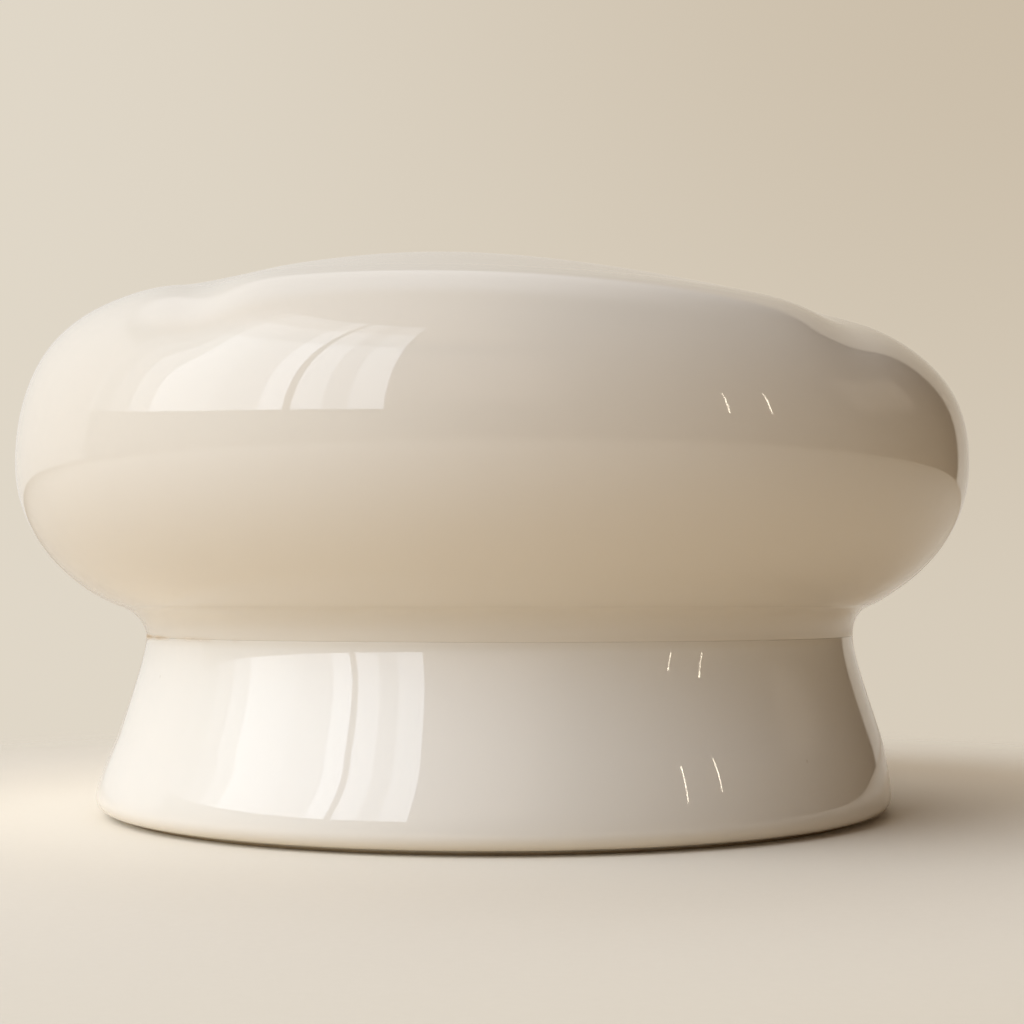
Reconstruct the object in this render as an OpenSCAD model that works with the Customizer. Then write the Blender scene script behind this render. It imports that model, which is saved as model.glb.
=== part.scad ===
// Butter crock: a footed base that holds water, and a lift-off domed lid with an
// inverted butter bell that hangs from it into the water.
// Millimetres. +Z is up, and the origin is the centre of the foot at the table.

/* [Overall] */
// Height of the closed crock, from the table to the crown of the dome
overall_h = 81.5; // [67:0.5:100]
// Largest radius of the dome, at its belly
belly_r = 70; // [64:0.5:84]
// Height of the belly's widest line above the table
belly_z = 50.5; // [46:0.1:58]

/* [Dome] */
// Wall thickness of the dome
dome_wall = 5; // [3.5:0.1:6.5]
// Radius at which the crown turns over into the shoulder
shoulder_r = 51.2; // [42:0.2:60]
// Drop from the crown to the shoulder
shoulder_drop = 9; // [6:0.2:12]
// Slope of the surface at the shoulder, in degrees below level
shoulder_slope = 13; // [10:1:24]
// Slope of the underside where it leaves the fold, in degrees above level
under_slope = 18; // [12:1:36]
// Radius of the soft fold between dome and base
fold_round = 4.6; // [3:0.1:8]

/* [Neck and seat] */
// Outer radius of the neck, where the lid sits on the base
neck_r = 52.3; // [47:0.1:60]
// Height of the flat seat that carries the lid
seat_z = 25.6; // [20:0.1:30]
// Width of the base's rim at the seat
rim_wall = 5.4; // [4:0.1:7]
// Rounding of the two edges that meet at the seam
seam_round = 0.3; // [0.2:0.1:1]

/* [Base] */
// How far the foot stands out past the neck
foot_spread = 6.1; // [4:0.1:9]
// Wall thickness at the foot
foot_wall = 7.5; // [6:0.1:9]
// Rounding of the foot's outer edge
foot_round = 2; // [1:0.1:3]
// Gap between the rounded foot edge and the table
foot_gap = 0.7; // [0.3:0.1:1.2]
// Distance from the foot's outer edge in to the bare foot ring
ring_inset = 3.4; // [2.5:0.1:5]
// Width of the bare foot ring
ring_w = 5.4; // [4:0.1:8]
// Height of the hollow under the base
recess_h = 2.2; // [1:0.1:3]
// Thickness of the water well's floor
floor_wall = 4.8; // [4:0.1:6]
// Rounding between the well's wall and floor
floor_round = 6; // [3:0.1:8]

/* [Butter bell] */
// Wall thickness of the bell
bell_wall = 4; // [3:0.1:5]
// Radial gap between the bell and the well, filled with water in use
bell_gap = 5.5; // [4:0.1:7]
// Gap between the bell's mouth and the well's floor
mouth_gap = 4.6; // [4.2:0.1:6]
// Space left between the bell's closed end and the inside of the shoulder
bell_headroom = 2; // [1:0.1:4]
// Rounding inside the bell's closed end
bell_round = 7; // [4:0.1:10]
// Thickness of the flange that joins the bell to the dome
flange_h = 4; // [3:0.1:5]
// Overlap of the dome's inner ledge on the flange
ledge_w = 2.4; // [1.5:0.1:3]
// Joint gap between the flange's edge and the dome
lute_gap = 0.2; // [0.1:0.05:0.4]

/* [Locating collar] */
// Depth of the collar that centres the lid in the base
collar_h = 4; // [2.5:0.1:5]
// Radial clearance between the collar and the well
collar_gap = 0.8; // [0.5:0.1:1.2]
// Rounding of the collar's lower edge
collar_round = 1; // [0.5:0.1:1.4]
// Radius of the vent into the dome's hollow
vent_r = 1.2; // [0.8:0.1:1.4]

/* [Hidden] */
$fn = 144;
curve_steps = 22;
arc_steps = 8;
glaze = [0.94, 0.92, 0.88];

// Fullness of each curve: the share of its span that a control point reaches.
fullness_under_out = 0.05;
fullness_belly_low = 0.7;
fullness_belly_high = 0.75;
fullness_shoulder = 0.4;
fullness_crown_edge = 0.11;
fullness_crown_top = 0.42;
fullness_foot = 0.18;
fullness_neck = 0.19;

// Seat and well
foot_r = neck_r + foot_spread;
well_r = neck_r - rim_wall;
floor_z = recess_h + floor_wall;
well_foot_r = foot_r - foot_wall;

// Underside of the base
foot_edge_z = foot_gap + foot_round;
ring_out_r = foot_r - ring_inset;
ring_in_r = ring_out_r - ring_w;

// Dome
shoulder_z = overall_h - shoulder_drop;
socket_r = neck_r - dome_wall;
ledge_z = seat_z + flange_h;
ledge_r = socket_r - ledge_w;

// The dome's inner ledge: its height, and how far its top leans out to the wall
ledge_h = 1.6;
lead_in = 2.5;

// Bell
bell_r = well_r - bell_gap;
mouth_z = floor_z + mouth_gap;
bell_top_z = shoulder_z - dome_wall - bell_headroom;
cup_r = bell_r - bell_wall;
cup_top_z = bell_top_z - bell_wall;
flange_r = socket_r - lute_gap;
collar_r = well_r - collar_gap;
vent_at_r = (bell_r + collar_r) / 2;

// Points on a cubic Bezier curve from a to d with control points b and c.
function bezier(a, b, c, d) = [
    for (i = [0 : curve_steps])
        let (t = i / curve_steps, u = 1 - t)
        u * u * u * a + 3 * u * u * t * b + 3 * u * t * t * c + t * t * t * d
];

// Points on an arc about centre, from angle from_a to angle to_a.
function arc(centre, radius, from_a, to_a) = [
    for (i = [0 : arc_steps])
        let (a = from_a + (to_a - from_a) * i / arc_steps)
        centre + radius * [cos(a), sin(a)]
];

// The list without its first point, which the stretch before it already gave.
function rest(points) = [for (i = [1 : len(points) - 1]) points[i]];

// The list in the opposite order.
function reversed(points) = [for (i = [len(points) - 1 : -1 : 0]) points[i]];

// A curve moved sideways, to the left of its own direction.
function inset(points, distance) = [
    for (i = [0 : len(points) - 1])
        let (
            before = points[max(i - 1, 0)],
            after = points[min(i + 1, len(points) - 1)],
            way = (after - before) / norm(after - before)
        )
        points[i] + distance * [-way[1], way[0]]
];

// The dome's outer curve, from the fold up to the crown.
function dome_curve() =
    let (
        fold_end = [
            neck_r + fold_round * (1 - sin(under_slope)),
            seat_z + fold_round * cos(under_slope)
        ],
        out = belly_r - fold_end[0],
        belly = [belly_r, belly_z],
        shoulder = [shoulder_r, shoulder_z],
        along = [-cos(shoulder_slope), sin(shoulder_slope)],
        fold = arc([neck_r + fold_round, seat_z], fold_round, 180, 90 + under_slope),
        under = bezier(
            fold_end,
            fold_end + fullness_under_out * out * [cos(under_slope), sin(under_slope)],
            belly - [0, fullness_belly_low * (belly_z - fold_end[1])],
            belly
        ),
        upper = bezier(
            belly,
            belly + [0, fullness_belly_high * (shoulder_z - belly_z)],
            shoulder - fullness_shoulder * (belly_r - shoulder_r) * along,
            shoulder
        ),
        crown = bezier(
            shoulder,
            shoulder + fullness_crown_edge * shoulder_r * along,
            [fullness_crown_top * shoulder_r, overall_h],
            [0, overall_h]
        )
    )
    concat(fold, rest(under), rest(upper), rest(crown));

// The dome's inner curve, from the first point that clears the ledge up to the crown.
function dome_inner_curve() =
    let (curve = inset(dome_curve(), dome_wall))
    concat(
        [for (p = curve) if (p[0] > ledge_r + lead_in && p[1] > ledge_z + ledge_h) p],
        [for (p = curve) if (p[0] > 0.01 && p[0] <= ledge_r + lead_in && p[1] > belly_z) p]
    );

// The base's flared outer side, from the foot up to the neck.
function flare_curve(low, high) =
    let (rise = high[1] - low[1])
    bezier(low, low + [0, fullness_foot * rise], high - [0, fullness_neck * rise], high);

module base_crock() {
    outer_low = [foot_r, foot_edge_z];
    outer_high = [neck_r, seat_z - seam_round];
    inner_low = [well_foot_r, floor_z + floor_round];
    inner_high = [well_r, seat_z - seam_round];
    color(glaze)
        rotate_extrude()
            polygon(concat(
                [[0, recess_h], [ring_in_r - recess_h / 2, recess_h], [ring_in_r, 0], [ring_out_r, 0]],
                arc([foot_r - foot_round, foot_edge_z], foot_round, 270, 360),
                rest(flare_curve(outer_low, outer_high)),
                rest(arc([neck_r - seam_round, seat_z - seam_round], seam_round, 0, 90)),
                arc([well_r + seam_round, seat_z - seam_round], seam_round, 90, 180),
                rest(reversed(flare_curve(inner_low, inner_high))),
                rest(arc([well_foot_r - floor_round, floor_z + floor_round], floor_round, 0, -90)),
                [[0, floor_z]]
            ));
}

module lid_dome() {
    outer = dome_curve();
    color(glaze)
        rotate_extrude()
            polygon(concat(
                arc([neck_r - seam_round, seat_z + seam_round], seam_round, 270, 360),
                [for (p = outer) if (p[1] > seat_z + seam_round) p],
                [[0, overall_h - dome_wall]],
                reversed(dome_inner_curve()),
                [
                    [ledge_r, ledge_z + ledge_h],
                    [ledge_r, ledge_z],
                    [socket_r, ledge_z],
                    [socket_r, seat_z]
                ]
            ));
}

// The bell's wall, closed end, flange and collar in one outline.
module bell_profile() {
    lip = bell_wall / 2;
    outer_round = bell_round + bell_wall;
    polygon(concat(
        arc([cup_r + lip, mouth_z + lip], lip, 180, 360),
        [[bell_r, seat_z - collar_h]],
        arc([collar_r - collar_round, seat_z - collar_h + collar_round], collar_round, 270, 360),
        [[collar_r, seat_z], [flange_r, seat_z], [flange_r, ledge_z], [bell_r, ledge_z]],
        arc([bell_r - outer_round, bell_top_z - outer_round], outer_round, 0, 90),
        [[0, bell_top_z], [0, cup_top_z]],
        arc([cup_r - bell_round, cup_top_z - bell_round], bell_round, 90, 0)
    ));
}

module butter_bell() {
    color(glaze)
        difference() {
            rotate_extrude()
                bell_profile();
            translate([0, -vent_at_r, seat_z - collar_h - 1])
                cylinder(r = vent_r, h = collar_h + flange_h + 2);
        }
}

base_crock();
lid_dome();
butter_bell();
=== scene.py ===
"""Butter crock: a footed water base and a cushion-shaped lid that carries the butter bell."""

import math

import bmesh
import bpy
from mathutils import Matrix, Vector


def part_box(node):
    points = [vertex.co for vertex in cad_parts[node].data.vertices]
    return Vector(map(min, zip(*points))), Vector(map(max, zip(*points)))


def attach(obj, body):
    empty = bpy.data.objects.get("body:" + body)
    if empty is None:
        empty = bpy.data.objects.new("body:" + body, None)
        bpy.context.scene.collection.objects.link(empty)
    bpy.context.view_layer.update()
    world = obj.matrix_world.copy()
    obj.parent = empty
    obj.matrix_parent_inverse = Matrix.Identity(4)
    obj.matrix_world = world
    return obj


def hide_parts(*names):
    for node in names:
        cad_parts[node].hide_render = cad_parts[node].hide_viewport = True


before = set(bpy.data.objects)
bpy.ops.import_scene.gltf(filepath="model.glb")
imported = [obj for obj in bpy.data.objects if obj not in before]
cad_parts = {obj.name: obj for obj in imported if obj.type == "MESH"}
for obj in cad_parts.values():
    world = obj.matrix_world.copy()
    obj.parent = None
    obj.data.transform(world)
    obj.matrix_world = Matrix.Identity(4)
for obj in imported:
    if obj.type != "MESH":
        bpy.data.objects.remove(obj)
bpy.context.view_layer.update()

MM = 0.001

# ---------------------------------------------------------------------------
# Sizes. What the frame can tell is read from it, and the rest is in millimetres.
# ---------------------------------------------------------------------------

base_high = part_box("base_crock")[1]
dome_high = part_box("lid_dome")[1]
bell_low, bell_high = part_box("butter_bell")

foot_r = base_high.x
seat_z = base_high.z
belly_r = dome_high.x
crown_z = dome_high.z
flange_r = bell_high.x
mouth_z = bell_low.z
bell_top_z = bell_high.z

belly_z = 50.5 * MM
shoulder_r = 51.2 * MM
shoulder_z = crown_z - 9 * MM
shoulder_slope = 13
under_slope = 18
fold_round = 4.6 * MM
dome_wall = 5 * MM

neck_r = 52.3 * MM
well_r = neck_r - 5.4 * MM
seam_round = 0.08 * MM

well_foot_r = foot_r - 7.5 * MM
foot_round = 2 * MM
foot_edge_z = 0.7 * MM + foot_round
ring_out_r = foot_r - 3.4 * MM
ring_in_r = ring_out_r - 5.4 * MM
recess_z = 2.2 * MM
floor_z = recess_z + 4.8 * MM
floor_round = 6 * MM

bell_wall = 4 * MM
bell_r = well_r - 5.5 * MM
cup_r = bell_r - bell_wall
cup_top_z = bell_top_z - bell_wall
cup_round = 7 * MM
socket_r = neck_r - dome_wall
ledge_z = seat_z + 4 * MM
ledge_r = socket_r - 2.4 * MM
ledge_top_z = ledge_z + 1.6 * MM
collar_r = well_r - 0.8 * MM
collar_z = seat_z - 4 * MM
collar_round = 1 * MM
vent_r = 1.2 * MM
vent_at_r = (bell_r + collar_r) / 2
ring_round = 0.35 * MM
lead_in = 2.5 * MM
axis_clear = 0.4 * MM

# Hand finishing leaves the dome askew, higher at -X and lower at +X, as rise over run
# at its shoulder and at its middle. It also pushes the neck and the belly sideways.
shoulder_lean = 0.035
crown_lean = 0.08
neck_push = 0.8 * MM
belly_push = -0.2 * MM

# Two soft furrows run over the dome's front, one each side of the crown. They begin at one
# place along Y and reach their whole depth at another.
left_furrow = -37 * MM
right_furrow = 46 * MM
furrow_width = 5.2 * MM
furrow_depth = 1.1 * MM
furrow_from = -19 * MM
furrow_full = -36 * MM

# Outline points and vertices closer than these are merged, and only sharper edges are corners.
least_step = 0.02 * MM
weld_gap = 0.001 * MM
sharp_angle = math.radians(32)

# Fullness of each curve: the share of its span that a control point reaches.
fullness_under_out = 0.05
fullness_belly_low = 0.7
fullness_belly_high = 0.75
fullness_shoulder = 0.4
fullness_crown_edge = 0.11
fullness_crown_top = 0.42
fullness_foot = 0.18
fullness_neck = 0.19

# ---------------------------------------------------------------------------
# Outlines: each point is (radius, height, skin), and skin is 1 on the outside that shows
# ---------------------------------------------------------------------------


def spot(radius, height):
    return Vector((radius, height, 0))


def direction(degrees):
    angle = math.radians(degrees)
    return spot(math.cos(angle), math.sin(angle))


def bezier(a, b, c, d, steps=44):
    """Points on a cubic curve from a to d with control points b and c."""
    points = []
    for i in range(steps + 1):
        t = i / steps
        u = 1 - t
        points.append(u**3 * a + 3 * u * u * t * b + 3 * u * t * t * c + t**3 * d)
    return points


def arc(centre, radius, start, end, steps=10):
    """Points on an arc about centre, between two angles in degrees."""
    turns = [start + (end - start) * i / steps for i in range(steps + 1)]
    return [centre + radius * direction(turn) for turn in turns]


def straight(a, b, steps=6):
    """Points on the line from a to b, closer together at its ends."""
    shares = [0.5 - 0.5 * math.cos(math.pi * i / steps) for i in range(steps + 1)]
    return [a.lerp(b, share) for share in shares]


def joined(*stretches):
    """One outline from several stretches, each point kept once."""
    outline = []
    for stretch in stretches:
        for point in stretch:
            if not outline or (point.xy - outline[-1].xy).length > least_step:
                outline.append(point)
    return outline


def skinned(points):
    """The same points, marked as outside skin."""
    return [Vector((p.x, p.y, 1)) for p in points]


def inset(points, distance):
    """A curve moved to the left of its own direction."""
    moved = []
    for i, point in enumerate(points):
        way = points[min(i + 1, len(points) - 1)] - points[max(i - 1, 0)]
        way.normalize()
        moved.append(point + distance * spot(-way.y, way.x))
    return moved


def dome_curve():
    """The dome's outer curve, from the fold up to the crown."""
    fold_centre = spot(neck_r + fold_round, seat_z)
    fold_end = fold_centre + fold_round * direction(90 + under_slope)
    belly = spot(belly_r, belly_z)
    shoulder = spot(shoulder_r, shoulder_z)
    along = direction(180 - shoulder_slope)
    under = bezier(
        fold_end,
        fold_end + fullness_under_out * (belly_r - fold_end.x) * direction(under_slope),
        belly - spot(0, fullness_belly_low * (belly_z - fold_end.y)),
        belly,
    )
    upper = bezier(
        belly,
        belly + spot(0, fullness_belly_high * (shoulder_z - belly_z)),
        shoulder - fullness_shoulder * (belly_r - shoulder_r) * along,
        shoulder,
    )
    top = bezier(
        shoulder,
        shoulder + fullness_crown_edge * shoulder_r * along,
        spot(fullness_crown_top * shoulder_r, crown_z),
        spot(0, crown_z),
        steps=60,
    )
    fold = arc(fold_centre, fold_round, 180, 90 + under_slope, steps=14)
    return joined(fold, under, upper, top)


def flare(low, high):
    """The base's flared side, from the foot up to the neck."""
    rise = high.y - low.y
    low_hold = low + spot(0, fullness_foot * rise)
    high_hold = high - spot(0, fullness_neck * rise)
    return bezier(low, low_hold, high_hold, high)


def base_outline():
    lip_z = seat_z - seam_round
    well_low = spot(well_foot_r, floor_z + floor_round)
    return joined(
        straight(spot(0, recess_z), spot(ring_in_r - recess_z, recess_z)),
        arc(spot(ring_in_r - recess_z, 0), recess_z, 90, 12),
        arc(spot(ring_in_r + ring_round, ring_round), ring_round, 180, 270),
        straight(spot(ring_in_r + ring_round, 0), spot(ring_out_r - ring_round, 0)),
        arc(spot(ring_out_r - ring_round, ring_round), ring_round, 270, 345),
        arc(spot(foot_r - foot_round, foot_edge_z), foot_round, 250, 360, steps=14),
        skinned(flare(spot(foot_r, foot_edge_z), spot(neck_r, lip_z))),
        skinned(arc(spot(neck_r - seam_round, lip_z), seam_round, 0, 90)),
        straight(Vector((neck_r - seam_round, seat_z, 1)), spot(well_r + seam_round, seat_z)),
        arc(spot(well_r + seam_round, lip_z), seam_round, 90, 180),
        reversed(flare(well_low, spot(well_r, lip_z))),
        arc(well_low - spot(floor_round, 0), floor_round, 0, -90, steps=16),
        straight(spot(well_foot_r - floor_round, floor_z), spot(0, floor_z)),
    )


def dome_outline():
    outer = [p for p in dome_curve() if p.y > seat_z + seam_round]
    inner = inset(dome_curve(), dome_wall)
    low_inner = [p for p in inner if p.x > ledge_r + lead_in and p.y > ledge_top_z]
    top_inner = [p for p in inner if axis_clear < p.x <= ledge_r + lead_in and p.y > belly_z]
    return joined(
        skinned(reversed(outer)),
        skinned(arc(spot(neck_r - seam_round, seat_z + seam_round), seam_round, 0, -90)),
        straight(Vector((neck_r - seam_round, seat_z, 1)), spot(socket_r, seat_z)),
        straight(spot(socket_r, seat_z), spot(socket_r, ledge_z)),
        straight(spot(socket_r, ledge_z), spot(ledge_r, ledge_z)),
        straight(spot(ledge_r, ledge_z), spot(ledge_r, ledge_top_z)),
        low_inner,
        top_inner,
        [spot(0, crown_z - dome_wall)],
    )


def bell_outline():
    lip = bell_wall / 2
    outer_round = cup_round + bell_wall
    return joined(
        straight(spot(0, bell_top_z), spot(bell_r - outer_round, bell_top_z)),
        arc(spot(bell_r - outer_round, bell_top_z - outer_round), outer_round, 90, 0, steps=18),
        straight(spot(bell_r, bell_top_z - outer_round), spot(bell_r, ledge_z)),
        straight(spot(bell_r, ledge_z), spot(flange_r, ledge_z)),
        straight(spot(flange_r, ledge_z), spot(flange_r, seat_z)),
        straight(spot(flange_r, seat_z), spot(collar_r, seat_z), steps=2),
        straight(spot(collar_r, seat_z), spot(collar_r, collar_z + collar_round)),
        arc(spot(collar_r - collar_round, collar_z + collar_round), collar_round, 0, -90),
        straight(spot(collar_r - collar_round, collar_z), spot(bell_r, collar_z)),
        straight(spot(bell_r, collar_z), spot(bell_r, mouth_z + lip)),
        arc(spot(cup_r + lip, mouth_z + lip), lip, 0, -180, steps=16),
        straight(spot(cup_r, mouth_z + lip), spot(cup_r, cup_top_z - cup_round), steps=12),
        arc(spot(cup_r - cup_round, cup_top_z - cup_round), cup_round, 0, 90, steps=16),
        straight(spot(cup_r - cup_round, cup_top_z), spot(0, cup_top_z)),
    )


# ---------------------------------------------------------------------------
# Turned forms: an outline spun round the axis by Geometry Nodes
# ---------------------------------------------------------------------------


def feed(tree, socket, value):
    """Links a socket to an input, or sets the input to a plain value."""
    if isinstance(value, bpy.types.NodeSocket):
        tree.links.new(value, socket)
    else:
        socket.default_value = value


def math_node(tree, operation, *values):
    """A Math node whose inputs are sockets or plain numbers. Returns its output."""
    node = tree.nodes.new("ShaderNodeMath")
    node.operation = operation
    for socket, value in zip(node.inputs, values):
        feed(tree, socket, value)
    return node.outputs[0]


def product(tree, first, *others):
    """Everything given, multiplied together."""
    for other in others:
        first = math_node(tree, "MULTIPLY", first, other)
    return first


def range_node(tree, value, low, high):
    """0 at low, 1 at high, and a smooth step between them."""
    node = tree.nodes.new("ShaderNodeMapRange")
    node.interpolation_type = "SMOOTHSTEP"
    for socket, given in zip(node.inputs[:3], (value, low, high)):
        feed(tree, socket, given)
    return node.outputs[0]


def turned_form_tree():
    """Spins an outline round +Z, with a leaning crown, a sideways push and furrows."""
    tree = bpy.data.node_groups.new("Turned form", "GeometryNodeTree")
    inputs = (
        ("Outline", "NodeSocketGeometry", None),
        ("Rows", "NodeSocketInt", 100),
        ("Segments", "NodeSocketInt", 200),
        ("Crown Lean", "NodeSocketFloat", 0.0),
        ("Shoulder Lean", "NodeSocketFloat", 0.0),
        ("Shoulder Radius", "NodeSocketFloat", shoulder_r),
        ("Lean From", "NodeSocketFloat", belly_z),
        ("Lean Full", "NodeSocketFloat", shoulder_z),
        ("Low Push", "NodeSocketFloat", 0.0),
        ("High Push", "NodeSocketFloat", 0.0),
        ("Push From", "NodeSocketFloat", 0.0),
        ("Push Full", "NodeSocketFloat", 1.0),
        ("Left Furrow", "NodeSocketFloat", left_furrow),
        ("Right Furrow", "NodeSocketFloat", right_furrow),
        ("Furrow Width", "NodeSocketFloat", furrow_width),
        ("Furrow From", "NodeSocketFloat", furrow_from),
        ("Furrow Full", "NodeSocketFloat", furrow_full),
        ("Furrow Depth", "NodeSocketFloat", 0.0),
        ("Glaze", "NodeSocketMaterial", None),
    )
    for name, kind, value in inputs:
        socket = tree.interface.new_socket(name, in_out="INPUT", socket_type=kind)
        if value is not None:
            socket.default_value = value
    tree.interface.new_socket("Form", in_out="OUTPUT", socket_type="NodeSocketGeometry")
    nodes, links = tree.nodes, tree.links
    given = nodes.new("NodeGroupInput").outputs
    out = nodes.new("NodeGroupOutput")

    grid = nodes.new("GeometryNodeMeshGrid")
    links.new(math_node(tree, "ADD", given["Segments"], 1), grid.inputs["Vertices X"])
    links.new(given["Rows"], grid.inputs["Vertices Y"])

    index = nodes.new("GeometryNodeInputIndex").outputs[0]
    row = math_node(tree, "MODULO", index, given["Rows"])
    column = math_node(tree, "FLOOR", math_node(tree, "DIVIDE", index, given["Rows"]))
    turn = math_node(tree, "DIVIDE", column, given["Segments"])
    angle = product(tree, turn, math.tau)

    def of_row(value, kind):
        sample = nodes.new("GeometryNodeSampleIndex")
        sample.data_type = kind
        sample.domain = "POINT"
        links.new(given["Outline"], sample.inputs["Geometry"])
        links.new(value, sample.inputs["Value"])
        links.new(row, sample.inputs["Index"])
        return sample.outputs["Value"]

    apart = nodes.new("ShaderNodeSeparateXYZ")
    position = nodes.new("GeometryNodeInputPosition").outputs[0]
    links.new(of_row(position, "FLOAT_VECTOR"), apart.inputs[0])
    radius, height = apart.outputs["X"], apart.outputs["Z"]
    marked = nodes.new("GeometryNodeInputNamedAttribute")
    marked.data_type = "FLOAT"
    marked.inputs["Name"].default_value = "skin"
    skin = of_row(marked.outputs["Attribute"], "FLOAT")

    def blend(share, low, high):
        span = math_node(tree, "SUBTRACT", high, low)
        return math_node(tree, "MULTIPLY_ADD", share, span, low)

    cosine = math_node(tree, "COSINE", angle)
    sine = math_node(tree, "SINE", angle)
    pushed = range_node(tree, height, given["Push From"], given["Push Full"])
    push = product(tree, blend(pushed, given["Low Push"], given["High Push"]), skin)
    x = math_node(tree, "MULTIPLY_ADD", radius, cosine, push)
    y = product(tree, radius, sine)

    out_share = range_node(tree, radius, 0.0, given["Shoulder Radius"])
    slope = blend(out_share, given["Crown Lean"], given["Shoulder Lean"])
    raised = range_node(tree, height, given["Lean From"], given["Lean Full"])
    tilt = product(tree, slope, raised, x)

    def furrow(place):
        away = math_node(tree, "SUBTRACT", x, place)
        off = math_node(tree, "DIVIDE", away, given["Furrow Width"])
        return math_node(tree, "EXPONENT", product(tree, off, off, -1.0))

    pressed = math_node(tree, "ADD", furrow(given["Left Furrow"]), furrow(given["Right Furrow"]))
    front = range_node(tree, y, given["Furrow From"], given["Furrow Full"])
    dent = product(tree, given["Furrow Depth"], skin, front, raised, pressed)
    drop = math_node(tree, "ADD", tilt, dent)

    leaning = nodes.new("ShaderNodeCombineXYZ")
    links.new(x, leaning.inputs["X"])
    links.new(y, leaning.inputs["Y"])
    links.new(math_node(tree, "SUBTRACT", height, drop), leaning.inputs["Z"])

    move = nodes.new("GeometryNodeSetPosition")
    links.new(grid.outputs["Mesh"], move.inputs["Geometry"])
    links.new(leaning.outputs[0], move.inputs["Position"])
    merge = nodes.new("GeometryNodeMergeByDistance")
    merge.inputs["Distance"].default_value = weld_gap
    links.new(move.outputs[0], merge.inputs["Geometry"])
    realize = nodes.new("GeometryNodeRealizeInstances")
    links.new(merge.outputs[0], realize.inputs[0])
    finish = nodes.new("GeometryNodeSetMaterial")
    links.new(realize.outputs[0], finish.inputs["Geometry"])
    links.new(given["Glaze"], finish.inputs["Material"])
    links.new(finish.outputs[0], out.inputs[0])
    return tree


def outline_mesh(name, outline):
    """The outline as loose points and edges in the XZ plane."""
    mesh = bpy.data.meshes.new(name)
    points = [(max(p.x, 0.0), 0.0, p.y) for p in outline]
    mesh.from_pydata(points, [(i, i + 1) for i in range(len(points) - 1)], [])
    skin = mesh.attributes.new("skin", "FLOAT", "POINT")
    skin.data.foreach_set("value", [p.z for p in outline])
    return mesh


def baked(worked, name):
    """A plain object from the evaluated one, which is then removed."""
    evaluated = worked.evaluated_get(bpy.context.evaluated_depsgraph_get())
    mesh = bpy.data.meshes.new_from_object(evaluated)
    mesh.name = name
    bpy.data.objects.remove(worked)
    piece = bpy.data.objects.new(name, mesh)
    bpy.context.scene.collection.objects.link(piece)
    return piece


def faced_outwards(piece):
    """Outward faces, smooth shading, and sharp edges only at true corners."""
    work = bmesh.new()
    work.from_mesh(piece.data)
    bmesh.ops.remove_doubles(work, verts=work.verts, dist=weld_gap)
    bmesh.ops.recalc_face_normals(work, faces=work.faces)
    if work.calc_volume(signed=True) < 0:
        bmesh.ops.reverse_faces(work, faces=work.faces)
    for face in work.faces:
        face.smooth = True
    work.to_mesh(piece.data)
    work.free()
    piece.data.set_sharp_from_angle(angle=sharp_angle)


def turned(name, outline, glaze, tree, segments=224, **shape):
    """A closed form turned from an outline, as a plain mesh."""
    source = bpy.data.objects.new(name + ".outline", outline_mesh(name, outline))
    bpy.context.scene.collection.objects.link(source)
    spin = source.modifiers.new("Turned form", "NODES")
    spin.node_group = tree
    values = {"Rows": len(outline), "Segments": segments, "Glaze": glaze}
    for label, value in shape.items():
        values[label.replace("_", " ")] = value
    for item in tree.interface.items_tree:
        if item.name in values and item.in_out == "INPUT":
            spin[item.identifier] = values[item.name]
    piece = baked(source, name)
    faced_outwards(piece)
    return piece


def vented(piece):
    """Drills the vent through the bell's collar and flange."""
    drill_mesh = bpy.data.meshes.new("vent drill")
    work = bmesh.new()
    depth = ledge_z - collar_z + 2 * MM
    bmesh.ops.create_cone(
        work, cap_ends=True, segments=48, radius1=vent_r, radius2=vent_r, depth=depth
    )
    middle = (ledge_z + collar_z) / 2
    bmesh.ops.translate(work, verts=work.verts, vec=(0, -vent_at_r, middle))
    work.to_mesh(drill_mesh)
    work.free()
    drill = bpy.data.objects.new("vent drill", drill_mesh)
    bpy.context.scene.collection.objects.link(drill)
    cut = piece.modifiers.new("Vent", "BOOLEAN")
    cut.object = drill
    cut.operation = "DIFFERENCE"
    cut.solver = "EXACT"
    drilled = baked(piece, piece.name)
    bpy.data.objects.remove(drill)
    drilled.data.set_sharp_from_angle(angle=sharp_angle)
    return drilled


# ---------------------------------------------------------------------------
# Shared shader effects
# ---------------------------------------------------------------------------

# Noise scales, a metre: how fine each mark is.
MARKS_UP = 900.0
MARKS_ROUND = 8.0
POOL_SCALE = 16.0
CLAY_GRAIN = 1800.0
PAPER_GRAIN = 900.0
EDGE_WANDER_SCALE = 260.0

# How far the edge of bare clay wanders.
EDGE_WANDER = 0.5 * MM

# The share of the glaze's cells that hold a pinhole or a speck.
PINHOLE_SHARE = 0.035
SPECK_SHARE = 0.03


def shader_group(name, inputs, outputs):
    """An empty shader group with named inputs and outputs."""
    tree = bpy.data.node_groups.new(name, "ShaderNodeTree")
    for label, kind, value in inputs:
        socket = tree.interface.new_socket(label, in_out="INPUT", socket_type=kind)
        if value is not None:
            socket.default_value = value
    for label, kind in outputs:
        tree.interface.new_socket(label, in_out="OUTPUT", socket_type=kind)
    given = tree.nodes.new("NodeGroupInput").outputs
    result = tree.nodes.new("NodeGroupOutput").inputs
    return tree, given, result


def noise_node(tree, vector, scale, detail=2.0, roughness=0.5):
    node = tree.nodes.new("ShaderNodeTexNoise")
    node.inputs["Detail"].default_value = detail
    node.inputs["Roughness"].default_value = roughness
    tree.links.new(vector, node.inputs["Vector"])
    feed(tree, node.inputs["Scale"], scale)
    return node.outputs[0]


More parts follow.
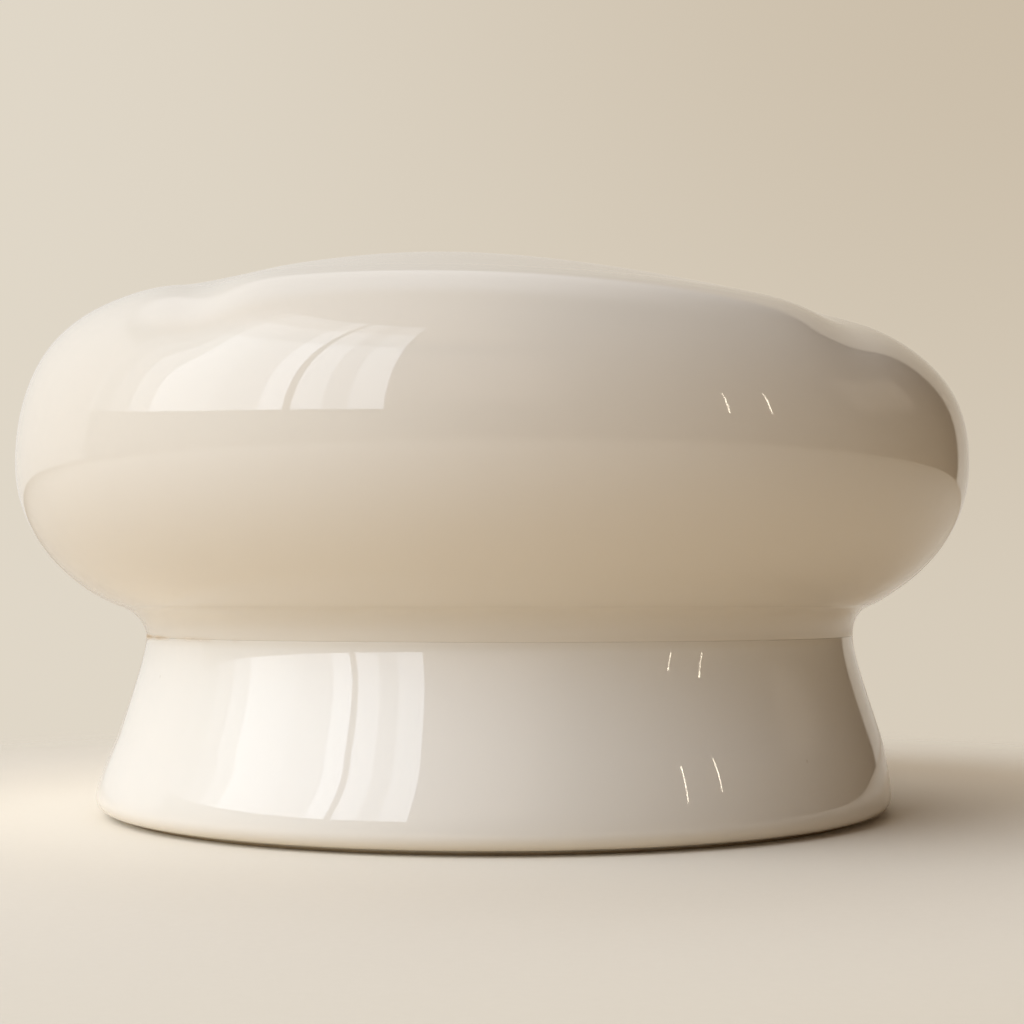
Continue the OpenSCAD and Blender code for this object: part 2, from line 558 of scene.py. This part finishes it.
def bare_zone_group():
    """1 inside a ring between two radii and two heights, with a slightly wandering edge."""
    inputs = (
        ("Vector", "NodeSocketVector", None),
        ("Inner Radius", "NodeSocketFloat", 0.0),
        ("Outer Radius", "NodeSocketFloat", 0.1),
        ("Low", "NodeSocketFloat", 0.0),
        ("High", "NodeSocketFloat", 0.1),
        ("Softness", "NodeSocketFloat", 0.25 * MM),
    )
    tree, given, result = shader_group("Bare zone", inputs, [("Mask", "NodeSocketFloat")])
    apart = tree.nodes.new("ShaderNodeSeparateXYZ")
    tree.links.new(given["Vector"], apart.inputs[0])
    x, y, z = apart.outputs
    square = math_node(tree, "ADD", product(tree, x, x), product(tree, y, y))
    radius = math_node(tree, "SQRT", square)
    wander = math_node(tree, "SUBTRACT", noise_node(tree, given["Vector"], EDGE_WANDER_SCALE), 0.5)
    radius = math_node(tree, "MULTIPLY_ADD", wander, EDGE_WANDER, radius)
    soft = given["Softness"]
    less = product(tree, soft, -1.0)

    def above(value, edge):
        return range_node(tree, math_node(tree, "SUBTRACT", value, edge), less, soft)

    inside = product(tree, above(radius, given["Inner Radius"]), above(given["Outer Radius"], radius))
    level = product(tree, above(z, given["Low"]), above(given["High"], z))
    tree.links.new(product(tree, inside, level), result["Mask"])
    return tree


def glaze_surface_group():
    """The glaze's slow waviness, faint turning marks, pinholes and specks."""
    inputs = (
        ("Vector", "NodeSocketVector", None),
        ("Wave Scale", "NodeSocketFloat", 38.0),
        ("Pinhole Scale", "NodeSocketFloat", 150.0),
    )
    outputs = [
        ("Waviness", "NodeSocketFloat"),
        ("Turning Marks", "NodeSocketFloat"),
        ("Pinholes", "NodeSocketFloat"),
        ("Specks", "NodeSocketFloat"),
        ("Pooling", "NodeSocketFloat"),
    ]
    tree, given, result = shader_group("Glaze surface", inputs, outputs)
    nodes, links = tree.nodes, tree.links
    vector = given["Vector"]
    links.new(noise_node(tree, vector, given["Wave Scale"], 1.0, 0.4), result["Waviness"])
    links.new(noise_node(tree, vector, POOL_SCALE, 2.0, 0.5), result["Pooling"])

    apart = nodes.new("ShaderNodeSeparateXYZ")
    links.new(vector, apart.inputs[0])
    band = nodes.new("ShaderNodeCombineXYZ")
    links.new(product(tree, apart.outputs["Z"], MARKS_UP), band.inputs["Z"])
    links.new(product(tree, apart.outputs["X"], MARKS_ROUND), band.inputs["X"])
    links.new(product(tree, apart.outputs["Y"], MARKS_ROUND), band.inputs["Y"])
    links.new(noise_node(tree, band.outputs[0], 1.0, 2.0, 0.6), result["Turning Marks"])

    cells = nodes.new("ShaderNodeTexVoronoi")
    links.new(vector, cells.inputs["Vector"])
    links.new(given["Pinhole Scale"], cells.inputs["Scale"])
    lottery = nodes.new("ShaderNodeSeparateColor")
    links.new(cells.outputs["Color"], lottery.inputs[0])
    near = range_node(tree, cells.outputs["Distance"], 0.05, 0.02)
    chosen = math_node(tree, "GREATER_THAN", lottery.outputs[0], 1 - PINHOLE_SHARE)
    links.new(product(tree, near, chosen), result["Pinholes"])
    close = range_node(tree, cells.outputs["Distance"], 0.045, 0.02)
    speck = math_node(tree, "GREATER_THAN", lottery.outputs[1], 1 - SPECK_SHARE)
    links.new(product(tree, close, speck), result["Specks"])
    return tree


# ---------------------------------------------------------------------------
# Materials
# ---------------------------------------------------------------------------

# Each cream is the open glaze, then the glaze where it pools. The base and the dome wear one glaze.
# The base's cream is painted lighter as painted light, and the dome's is painted darker and warmer as
# painted shade.
BASE_CREAM_PAINTED_LIGHTER = ((0.90, 0.88, 0.835), (0.88, 0.855, 0.80))
DOME_CREAM_PAINTED_SHADE = ((0.83, 0.79, 0.72), (0.805, 0.755, 0.68))
BELL_CREAM = ((0.865, 0.84, 0.79), (0.835, 0.80, 0.74))
GLAZE_THIN = (0.78, 0.72, 0.62)
SPECK_COLOUR = (0.42, 0.33, 0.24)
CLAY_COLOUR = (0.62, 0.52, 0.40)
CLAY_LIGHT = tuple(1.18 * channel for channel in CLAY_COLOUR)

# How strongly each mark shows in the colour.
POOL_STRENGTH = 0.5
SPECK_STRENGTH = 0.2
THIN_STRENGTH = 0.3

# Heights are shares of the relief, and the glaze's roughness is least plus its wave.
RELIEF = 0.07 * MM
MARK_HEIGHT = 0.02
PINHOLE_HEIGHT = -0.12
CLAY_HEIGHT = 0.25
GLAZE_ROUGHNESS = 0.018
GLAZE_ROUGHNESS_WAVE = 0.02
CLAY_ROUGHNESS = 0.85
GLAZE_IOR = 1.52

# How softly thin glaze and bare clay end.
THIN_EDGE = 0.6 * MM
CLAY_EDGE = 0.2 * MM


def mix_colour(tree, factor, low, high):
    """A colour mix whose ends are sockets or plain colours."""
    node = tree.nodes.new("ShaderNodeMix")
    node.data_type = "RGBA"
    tree.links.new(factor, node.inputs["Factor"])
    for socket, value in ((node.inputs[6], low), (node.inputs[7], high)):
        plain = not isinstance(value, bpy.types.NodeSocket)
        feed(tree, socket, (*value, 1.0) if plain else value)
    return node.outputs[2]


def placed(tree, group, **values):
    """A shared group in a material, with its values set."""
    node = tree.nodes.new("ShaderNodeGroup")
    node.node_tree = group
    for label, value in values.items():
        feed(tree, node.inputs[label.replace("_", " ")], value)
    return node.outputs


def glazed_ceramic(name, groups, cream, bare=(), thin=()):
    """Glossy cream glaze that thins at the edges and leaves bare clay on the contact rings."""
    material = bpy.data.materials.new(name)
    material.use_nodes = True
    tree = material.node_tree
    nodes, links = tree.nodes, tree.links
    shader = nodes["Principled BSDF"]
    where = nodes.new("ShaderNodeTexCoord").outputs["Object"]
    surface = placed(tree, groups["surface"], Vector=where)

    def zones(list_of_zones, softness):
        total = None
        for inner, outer, low, high in list_of_zones:
            mask = placed(
                tree,
                groups["bare"],
                Vector=where,
                Inner_Radius=inner,
                Outer_Radius=outer,
                Low=low,
                High=high,
                Softness=softness,
            )["Mask"]
            total = mask if total is None else math_node(tree, "MAXIMUM", total, mask)
        return total

    pooled = product(tree, range_node(tree, surface["Pooling"], 0.35, 0.75), POOL_STRENGTH)
    colour = mix_colour(tree, pooled, *cream)
    speck = product(tree, surface["Specks"], SPECK_STRENGTH)
    colour = mix_colour(tree, speck, colour, SPECK_COLOUR)
    if thin:
        edge = product(tree, zones(thin, THIN_EDGE), THIN_STRENGTH)
        colour = mix_colour(tree, edge, colour, GLAZE_THIN)
    wave = surface["Waviness"]
    roughness = math_node(tree, "MULTIPLY_ADD", wave, GLAZE_ROUGHNESS_WAVE, GLAZE_ROUGHNESS)
    height = math_node(tree, "MULTIPLY_ADD", surface["Turning Marks"], MARK_HEIGHT, wave)
    height = math_node(tree, "MULTIPLY_ADD", surface["Pinholes"], PINHOLE_HEIGHT, height)
    if bare:
        clay = zones(bare, CLAY_EDGE)
        grain = noise_node(tree, where, CLAY_GRAIN, 3.0, 0.7)
        clay_colour = mix_colour(tree, grain, CLAY_COLOUR, CLAY_LIGHT)
        colour = mix_colour(tree, clay, colour, clay_colour)
        roughness = math_node(tree, "MAXIMUM", roughness, product(tree, clay, CLAY_ROUGHNESS))
        height = math_node(tree, "MULTIPLY_ADD", product(tree, grain, clay), CLAY_HEIGHT, height)
    links.new(colour, shader.inputs["Base Color"])
    links.new(roughness, shader.inputs["Roughness"])
    bump = nodes.new("ShaderNodeBump")
    bump.inputs["Strength"].default_value = 1.0
    bump.inputs["Distance"].default_value = RELIEF
    links.new(height, bump.inputs["Height"])
    links.new(bump.outputs[0], shader.inputs["Normal"])
    shader.inputs["IOR"].default_value = GLAZE_IOR
    return material


# ---------------------------------------------------------------------------
# The three castings
# ---------------------------------------------------------------------------

effects = {"bare": bare_zone_group(), "surface": glaze_surface_group()}
tree_turned = turned_form_tree()

seam_low = seat_z - 0.8 * MM
seam_high = seat_z + 0.8 * MM
# The base's cream is painted lighter than the dome's: painted light.
base_glaze = glazed_ceramic(
    "Cream glaze on the base with painted light",
    effects,
    BASE_CREAM_PAINTED_LIGHTER,
    bare=[
        (ring_in_r - 0.2 * MM, ring_out_r + 0.2 * MM, -1 * MM, 0.45 * MM),
        (well_r + 0.7 * MM, neck_r - 0.7 * MM, seat_z - 0.3 * MM, seat_z + 1 * MM),
    ],
    thin=[
        (foot_r - 2.5 * MM, foot_r + 1 * MM, 0, 1.2 * MM),
        (well_r - 1 * MM, neck_r + 1 * MM, seam_low, seam_high),
    ],
)
# The dome's cream is painted darker and warmer than the base's: painted shade.
dome_glaze = glazed_ceramic(
    "Cream glaze on the dome with painted shade",
    effects,
    DOME_CREAM_PAINTED_SHADE,
    bare=[(socket_r - 0.2 * MM, neck_r - 0.7 * MM, seat_z - 1 * MM, seat_z + 0.3 * MM)],
    thin=[(socket_r, neck_r + 1 * MM, seam_low, seam_high)],
)
bell_glaze = glazed_ceramic(
    "Cream glaze on the bell",
    effects,
    BELL_CREAM,
    bare=[(collar_r + 0.2 * MM, flange_r + 1 * MM, seat_z - 0.3 * MM, seat_z + 0.3 * MM)],
    thin=[(cup_r - 1 * MM, bell_r + 1 * MM, mouth_z - 1 * MM, mouth_z + 1 * MM)],
)

base = turned(
    "water_base",
    base_outline(),
    base_glaze,
    tree_turned,
    High_Push=neck_push,
    Push_From=foot_edge_z,
    Push_Full=foot_edge_z + 9 * MM,
)
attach(base, "base")
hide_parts("base_crock")

dome = turned(
    "cushion_dome",
    dome_outline(),
    dome_glaze,
    tree_turned,
    Crown_Lean=crown_lean,
    Shoulder_Lean=shoulder_lean,
    Low_Push=neck_push,
    High_Push=belly_push,
    Push_From=seat_z,
    Push_Full=seat_z + 7 * MM,
    Furrow_Depth=furrow_depth,
)
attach(dome, "lid")
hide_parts("lid_dome")

bell = vented(turned("hanging_bell", bell_outline(), bell_glaze, tree_turned))
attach(bell, "lid")
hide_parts("butter_bell")

# ---------------------------------------------------------------------------
# Stage
# ---------------------------------------------------------------------------

# Paper: its own two shades, and what it gives back to the object.
PAPER = (0.945, 0.905, 0.82)
PAPER_FIBRE = (0.98, 0.94, 0.855)
PAPER_BOUNCE = (0.88, 0.75, 0.56)
PAPER_ROUGHNESS = 0.8
PAPER_HALF = 2.5
FADE_FROM = 0.1
FADE_FULL = 0.19

# The backdrop that shows, from its pale side to its darker corner, which is painted shade towards the
# right and the top, and its lit side.
BACKDROP_PALE = (0.745, 0.68, 0.575)
BACKDROP_PAINTED_SHADE = (0.59, 0.505, 0.39)
BACKDROP_LIT = (0.8, 0.76, 0.7)

# The room that the glaze reflects, each part from its window side to its far side.
WALLS = ((0.48, 0.44, 0.35), (0.03, 0.012, 0.004))
OVERHEAD = ((0.86, 0.66, 0.44), (0.05, 0.03, 0.015))
BEYOND = ((1.15, 1.1, 1.05), (0.1, 0.065, 0.035))
AHEAD = (0.54, 0.44, 0.37)
FAR_WALL_PATCH = (0.36, 0.29, 0.22)

# The rises between which walls turn to ceiling, and how much lower that is towards the back.
CEILING_EDGE = (47, 58)
CEILING_DROP = 26.0

# Panels: the turns of the two sides, the rises of bottom and top, and the edges' softness.
PATCH_PANEL = (60, 86, 15, 29, 2.5)
BACKDROP_PANEL = (-74, 38, -90, 36, 1.5)

DAYLIGHT = (0.88, 0.97, 1.09)
LAMPLIGHT = (1.0, 0.88, 0.70)
WINDOW_DISTANCE = 1.1
LAMP_DISTANCE = 1.5
LAMP_LEVEL = 22

# Lamps: the turn of each in degrees, the rises of bottom and top, and the width.
LAMPS = (("near lamp", 126), ("far lamp", 115))
LAMP_LOW = 14
LAMP_HIGH = 23
LAMP_WIDTH = 0.3

# Where the camera stands, and how far it looks up, in degrees.
CAMERA_PLACE = (0.0026, -0.281, 0.0308)
CAMERA_PITCH = 2.71
LENS = 65.4
SENSOR_WIDTH = 36

# Curtain folds: the turns of the two sides in degrees from straight back, and the level.
FOLDS = (
    (-76, -84, 0.35),
    (-84, -91, 0.7),
    (-91, -98, 1.5),
    (-98, -115, 2.8),
    (-115, -128, 2.55),
    (-128, -134, 4.0),
    (-136, -143, 3.5),
    (-143, -149, 2.4),
    (-149, -157, 3.4),
)
# Each fold fades upwards in tiers: the rises of bottom and top, and the share of the level.
TIERS = ((15, 47, 1.0), (47, 56, 0.7), (56, 63, 0.4))


def paper_floor():
    """Pale paper that fades into the background away from the object."""
    mesh = bpy.data.meshes.new("floor")
    signs = ((-1, -1), (1, -1), (1, 1), (-1, 1))
    corners = [(x * PAPER_HALF, y * PAPER_HALF, 0) for x, y in signs]
    mesh.from_pydata(corners, [], [(0, 1, 2, 3)])
    floor = bpy.data.objects.new("floor", mesh)
    bpy.context.scene.collection.objects.link(floor)
    material = bpy.data.materials.new("Pale paper")
    material.use_nodes = True
    tree = material.node_tree
    shader = tree.nodes["Principled BSDF"]
    where = tree.nodes.new("ShaderNodeTexCoord").outputs["Object"]
    path = tree.nodes.new("ShaderNodeLightPath").outputs
    seen = path["Is Camera Ray"]
    shown = math_node(tree, "MAXIMUM", seen, path["Is Glossy Ray"])
    shown = math_node(tree, "MAXIMUM", shown, path["Is Transmission Ray"])
    fibre = noise_node(tree, where, PAPER_GRAIN, 3.0, 0.6)
    sheet = mix_colour(tree, fibre, PAPER, PAPER_FIBRE)
    tree.links.new(mix_colour(tree, shown, PAPER_BOUNCE, sheet), shader.inputs["Base Color"])
    shader.inputs["Roughness"].default_value = PAPER_ROUGHNESS
    far = tree.nodes.new("ShaderNodeVectorMath")
    far.operation = "LENGTH"
    tree.links.new(where, far.inputs[0])
    fade = range_node(tree, far.outputs["Value"], FADE_FROM, FADE_FULL)
    clear = tree.nodes.new("ShaderNodeBsdfTransparent")
    mix = tree.nodes.new("ShaderNodeMixShader")
    tree.links.new(product(tree, fade, seen), mix.inputs[0])
    tree.links.new(shader.outputs[0], mix.inputs[1])
    tree.links.new(clear.outputs[0], mix.inputs[2])
    tree.links.new(mix.outputs[0], tree.nodes["Material Output"].inputs[0])
    mesh.materials.append(material)


def studio_world():
    """A pale backdrop behind, a bright ceiling at the left and a dim warm room at the right."""
    world = bpy.data.worlds.new("Studio")
    bpy.context.scene.world = world
    world.use_nodes = True
    tree = world.node_tree
    nodes, links = tree.nodes, tree.links
    nodes.clear()
    apart = nodes.new("ShaderNodeSeparateXYZ")
    links.new(nodes.new("ShaderNodeTexCoord").outputs["Generated"], apart.inputs[0])
    side, back, up = apart.outputs
    turn = math_node(tree, "DEGREES", math_node(tree, "ARCTAN2", side, back))
    rise = math_node(tree, "DEGREES", math_node(tree, "ARCSINE", up))

    def panel(left, right, low, high, soft):
        """1 inside a panel between two turns from straight back and two rises, in degrees."""
        return product(
            tree,
            range_node(tree, turn, left - soft, left + soft),
            range_node(tree, turn, right + soft, right - soft),
            range_node(tree, rise, low - soft, low + soft),
            range_node(tree, rise, high + soft, high - soft),
        )

    def across_room(start, end, colours):
        return mix_colour(tree, range_node(tree, side, start, end), *colours)

    # The backdrop is painted darker towards the right and higher up: painted shade, with the window
    # at the left. The lit panel that the glaze sees takes the same painted shade.
    height = range_node(tree, up, -0.1, 0.35)
    shade_upwards = math_node(tree, "MULTIPLY_ADD", height, 0.6, 0.4)
    backdrop_shade = product(tree, range_node(tree, side, -0.3, 0.3), shade_upwards)
    backdrop = mix_colour(tree, backdrop_shade, BACKDROP_PALE, BACKDROP_PAINTED_SHADE)
    lit = mix_colour(tree, backdrop_shade, BACKDROP_LIT, BACKDROP_PAINTED_SHADE)

    walls = across_room(-0.8, 0.1, WALLS)
    overhead = across_room(-0.15, 0.3, OVERHEAD)
    beyond = across_room(-0.1, 0.5, BEYOND)
    ceiling = mix_colour(tree, range_node(tree, back, 0.15, 0.5), overhead, beyond)
    towards_back = math_node(tree, "MAXIMUM", back, 0.0)
    above = math_node(tree, "MULTIPLY_ADD", towards_back, CEILING_DROP, rise)
    room = mix_colour(tree, range_node(tree, above, *CEILING_EDGE), walls, ceiling)
    ahead = product(
        tree,
        range_node(tree, side, 0.4, 0.05),
        range_node(tree, back, -0.3, -0.6),
        range_node(tree, rise, 12, 22),
        range_node(tree, rise, 50, 40),
    )
    room = mix_colour(tree, ahead, room, AHEAD)
    room = mix_colour(tree, panel(*PATCH_PANEL), room, FAR_WALL_PATCH)
    room = mix_colour(tree, panel(*BACKDROP_PANEL), room, lit)
    path = nodes.new("ShaderNodeLightPath").outputs
    shown = math_node(tree, "MAXIMUM", path["Is Camera Ray"], path["Is Transmission Ray"])
    colour = mix_colour(tree, shown, room, backdrop)
    background = nodes.new("ShaderNodeBackground")
    links.new(colour, background.inputs["Color"])
    output = nodes.new("ShaderNodeOutputWorld")
    links.new(background.outputs[0], output.inputs[0])


def around(turn, rise, distance):
    """A point at a turn from straight back towards +X and a rise above level, in degrees."""
    turn = math.radians(turn)
    height = math.tan(math.radians(rise))
    return distance * Vector((math.sin(turn), math.cos(turn), height))


def soft_box(name, start, end, top, level, colour):
    """An upright rectangular lamp from start to end and up to top, facing the object."""
    across = Vector((end.x - start.x, end.y - start.y, 0))
    middle = (start + end) / 2
    middle.z = (start.z + top) / 2
    lamp = bpy.data.lights.new(name, "AREA")
    lamp.shape = "RECTANGLE"
    lamp.size = across.length
    lamp.size_y = top - start.z
    lamp.energy = level * lamp.size * lamp.size_y * math.pi
    lamp.color = colour
    lamp_object = bpy.data.objects.new(name, lamp)
    bpy.context.scene.collection.objects.link(lamp_object)
    face = across.normalized().cross(Vector((0, 0, 1)))
    if face.dot(middle) > 0:
        face = -face
    lamp_object.location = middle
    lamp_object.rotation_mode = "QUATERNION"
    lamp_object.rotation_quaternion = face.to_track_quat("-Z", "Y")
    lamp_object.visible_camera = False


def studio_lights():
    """A tall window at the left behind hanging curtain folds, and two small lamps at the right."""
    for number, (left, right, level) in enumerate(FOLDS, 1):
        for tier, (low, high, share) in enumerate(TIERS, 1):
            start = around(left, low, WINDOW_DISTANCE)
            end = around(right, low, WINDOW_DISTANCE)
            top = around(left, high, WINDOW_DISTANCE).z
            soft_box(f"curtain fold {number} tier {tier}", start, end, top, share * level, DAYLIGHT)
    for name, turn in LAMPS:
        start = around(turn, LAMP_LOW, LAMP_DISTANCE)
        end = around(turn + LAMP_WIDTH, LAMP_LOW, LAMP_DISTANCE)
        top = around(turn, LAMP_HIGH, LAMP_DISTANCE).z
        soft_box(name, start, end, top, LAMP_LEVEL, LAMPLIGHT)


def studio_camera():
    """The camera, a little above the foot and looking slightly up."""
    scene = bpy.context.scene
    scene.view_settings.view_transform = "Standard"
    data = bpy.data.cameras.new("camera")
    data.sensor_width = SENSOR_WIDTH
    data.lens = LENS
    data.clip_start = 0.01
    camera = bpy.data.objects.new("camera", data)
    scene.collection.objects.link(camera)
    camera.location = CAMERA_PLACE
    camera.rotation_euler = (math.radians(90 + CAMERA_PITCH), 0, 0)
    scene.camera = camera


paper_floor()
studio_world()
studio_lights()
studio_camera()
